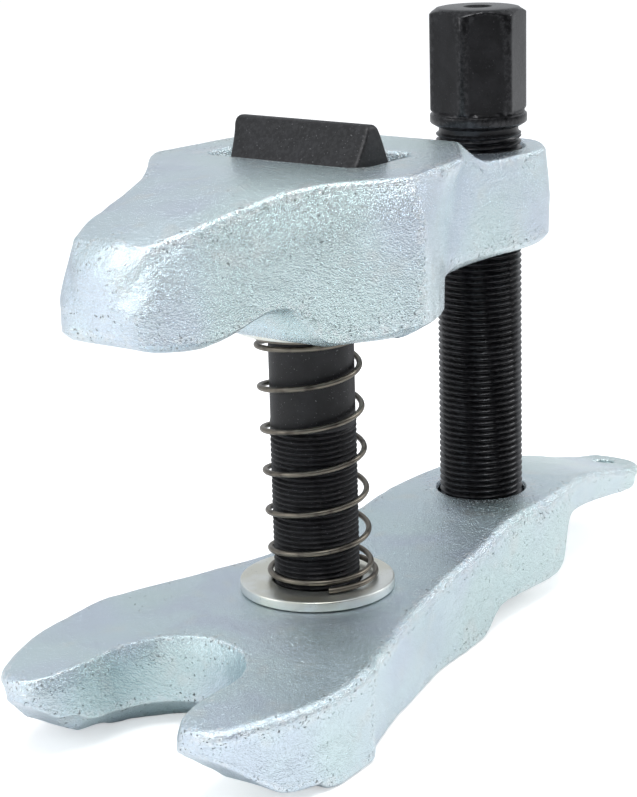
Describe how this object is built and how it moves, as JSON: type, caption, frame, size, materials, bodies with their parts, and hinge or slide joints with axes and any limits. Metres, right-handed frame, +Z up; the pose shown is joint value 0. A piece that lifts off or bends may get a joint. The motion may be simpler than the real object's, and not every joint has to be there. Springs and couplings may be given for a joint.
{
  "type": "ball joint separator",
  "caption": "Lever ball joint separator: forged fork, rocking lever on a T-bolt with return spring, and a hexagon forcing spindle.",
  "frame": {"origin": "on the flat underside of the fork, on its centre line, between the T-bolt and the spindle", "axes": "+Z up along the T-bolt, +X from the fork mouth and lever nose to the hanging ear"},
  "size_m": [0.2659, 0.096, 0.181],
  "materials": {
    "zinc_forging": "zinc plated, fine blasted grain",
    "zinc_washer": "zinc plated, smooth",
    "phosphate": "matt black phosphate",
    "black_oxide": "semi-gloss black oxide",
    "spring_steel": "oiled spring steel",
    "hardened": "hardened and ground",
    "dark_steel": "blackened"
  },
  "bodies": {
    "fork_body": {"lower_fork": "zinc_forging", "lower_washer": "zinc_washer", "thrust_pad": "dark_steel"},
    "swivel": {"swivel_ring": "dark_steel", "compression_spring": "spring_steel"},
    "bolt": {"tie_bolt": "phosphate", "upper_washer": "zinc_washer"},
    "nut": {"adjusting_nut": "dark_steel"},
    "lever": {"lever_arm": "zinc_forging"},
    "foot": {"thrust_ball": "hardened"},
    "screw": {"spindle": "black_oxide"}
  },
  "joints": [
    {"name": "bolt_lean", "type": "hinge", "parent": "fork_body", "child": "swivel", "pos_m": [-0.034, 0, 0.038], "axis": [0, 1, 0], "range_deg": [-3.3, 3.3]},
    {"name": "bolt_height", "type": "slide", "parent": "swivel", "child": "bolt", "axis": [0, 0, 1], "range_m": [-0.018, 0], "deforming": ["compression_spring"]},
    {"name": "nut_turn", "type": "hinge", "parent": "swivel", "child": "nut", "pos_m": [-0.034, 0, 0.0075], "axis": [0, 0, 1], "range_deg": [-1, 4321]},
    {"name": "lever_rock", "type": "hinge", "parent": "bolt", "child": "lever", "pos_m": [-0.034, 0, 0.1465], "axis": [0, 1, 0], "range_deg": [-0.5, 0.5]},
    {"name": "spindle_lean", "type": "hinge", "parent": "fork_body", "child": "foot", "pos_m": [0.052, 0, 0.0205], "axis": [0, 1, 0], "range_deg": [-3, 3]},
    {"name": "spindle_turn", "type": "hinge", "parent": "foot", "child": "screw", "pos_m": [0.052, 0, 0.0205], "axis": [0, 0, 1], "range_deg": [-847.3, 847.3]}
  ],
  "couplings": [
    {"joint": "nut_turn", "follows": "bolt_height", "rad_per_m": -4188.8},
    {"joint": "lever_rock", "follows": "bolt_lean", "ratio": -0.13889},
    {"joint": "spindle_lean", "follows": "bolt_lean", "ratio": 0.86111},
    {"joint": "spindle_turn", "follows": "bolt_lean", "ratio": 256.47}
  ]
}
